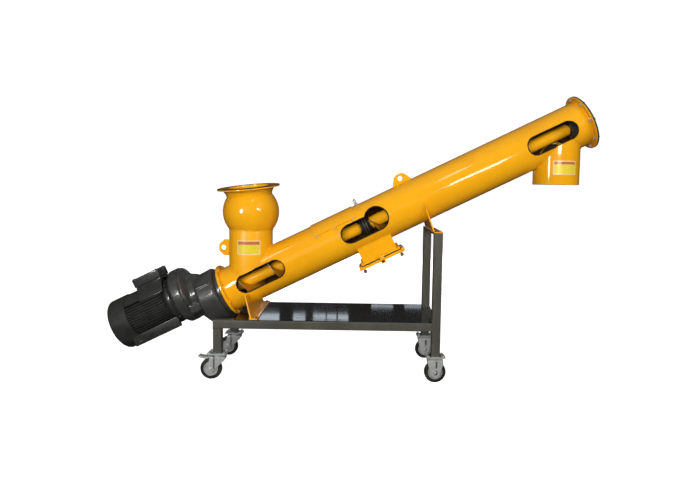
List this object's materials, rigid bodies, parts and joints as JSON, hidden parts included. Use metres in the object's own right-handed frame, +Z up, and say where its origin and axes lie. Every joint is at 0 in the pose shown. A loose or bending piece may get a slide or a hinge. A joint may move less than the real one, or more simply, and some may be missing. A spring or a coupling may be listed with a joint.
{
  "type": "screw conveyor on a wheeled trolley",
  "caption": "Inclined tubular screw conveyor with cut-open view windows, gear motor, ball-joint inlet and outlet spout, on a narrow wheeled trolley.",
  "frame": {"origin": "on the floor, under the middle of the whole machine", "axes": "+X runs along the machine from the motor at the low end to the outlet at the high end, +Z is up, and the windows face -Y"},
  "size_m": [2.3596, 0.44, 1.3525],
  "materials": {
    "paint": "glossy orange-yellow enamel on welded and rolled steel",
    "frame": "dark grey paint, satin, on square steel section",
    "gear_iron": "charcoal semi-gloss paint on cast iron",
    "motor_alloy": "charcoal semi-gloss paint on cast aluminium",
    "rubber": "matt black rubber",
    "tyre": "black rubber tyre on a pressed zinc-plated hub",
    "zinc": "zinc-plated pressed steel, dull",
    "bearing": "black oiled cast iron",
    "sheet": "glossy near-black painted sheet"
  },
  "bodies": {
    "machine": {"adapter_ring": "bearing", "castor_plate_far": "zinc", "castor_plate_near": "zinc", "cleanout_box": "paint", "cleanout_door": "paint", "conveyor_tube": "paint", "cross_rail_left": "frame", "cross_rail_right": "frame", "door_seal": "rubber", "end_cover": "gear_iron", "fan_cowl": "motor_alloy", "fixed_fork_far": "zinc", "fixed_fork_near": "zinc", "gearbox": "gear_iron", "hanger_bearing": "bearing", "inlet_ball": "paint", "inlet_lug": "paint", "inlet_pipe": "paint", "inlet_spout": "paint", "leg_left_far": "frame", "leg_left_near": "frame", "lower_flange": "paint", "motor_end_shield": "motor_alloy", "motor_foot": "motor_alloy", "motor_frame": "motor_alloy", "outlet_spout": "paint", "post_right_far": "frame", "post_right_near": "frame", "rail_far": "frame", "rail_near": "frame", "saddle_lower": "paint", "saddle_upper": "paint", "shelf_sheet": "sheet", "terminal_box": "motor_alloy", "top_beam": "frame", "top_hatch": "paint", "tube_lug": "paint", "upper_flange": "paint"},
    "screw": {"screw_lower": "paint", "screw_upper": "paint"},
    "swivel_near": {"swivel_fork_near": "zinc"},
    "swivel_far": {"swivel_fork_far": "zinc"},
    "left_wheel_near": {"wheel_left_near": "tyre"},
    "left_wheel_far": {"wheel_left_far": "tyre"},
    "right_wheel_near": {"wheel_right_near": "tyre"},
    "right_wheel_far": {"wheel_right_far": "tyre"}
  },
  "joints": [
    {"name": "screw_spin", "type": "hinge", "parent": "machine", "child": "screw", "pos_m": [-0.59957, 0, 0.382], "axis": [0.8965, 0, 0.4431], "continuous": true},
    {"name": "swivel_turn_near", "type": "hinge", "parent": "machine", "child": "swivel_near", "pos_m": [-0.60607, -0.185, 0.05], "axis": [0, 0, 1], "continuous": true},
    {"name": "left_roll_near", "type": "hinge", "parent": "swivel_near", "child": "left_wheel_near", "pos_m": [-0.63707, -0.185, 0.05], "axis": [0, 1, 0], "continuous": true},
    {"name": "right_roll_near", "type": "hinge", "parent": "machine", "child": "right_wheel_near", "pos_m": [0.40393, -0.185, 0.05], "axis": [0, 1, 0], "continuous": true},
    {"name": "swivel_turn_far", "type": "hinge", "parent": "machine", "child": "swivel_far", "pos_m": [-0.60607, 0.185, 0.05], "axis": [0, 0, 1], "continuous": true},
    {"name": "left_roll_far", "type": "hinge", "parent": "swivel_far", "child": "left_wheel_far", "pos_m": [-0.63707, 0.185, 0.05], "axis": [0, 1, 0], "continuous": true},
    {"name": "right_roll_far", "type": "hinge", "parent": "machine", "child": "right_wheel_far", "pos_m": [0.40393, 0.185, 0.05], "axis": [0, 1, 0], "continuous": true}
  ]
}
